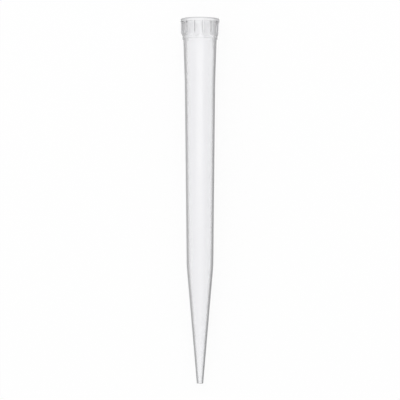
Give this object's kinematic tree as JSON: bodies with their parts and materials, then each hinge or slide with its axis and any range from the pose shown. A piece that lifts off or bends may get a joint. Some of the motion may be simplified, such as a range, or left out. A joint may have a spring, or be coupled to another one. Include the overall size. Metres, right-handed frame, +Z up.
{
  "type": "pipette tip",
  "caption": "Long tapered macro pipette tip in translucent plastic, open at both ends, with a ribbed collar and a tapered socket that grips a pipette's nozzle.",
  "frame": {"origin": "on the bench under the middle of the lying tip: the centre of the bottom of its box", "axes": "+Y runs along the lying tip towards its head, level; +Z up; the tip's own axis falls 1.447 degrees from the head to the orifice"},
  "size_m": [0.016, 0.1502, 0.016],
  "materials": {
    "polypropylene": "satin"
  },
  "bodies": {
    "root": {"pipette_tip": "polypropylene"}
  },
  "joints": []
}
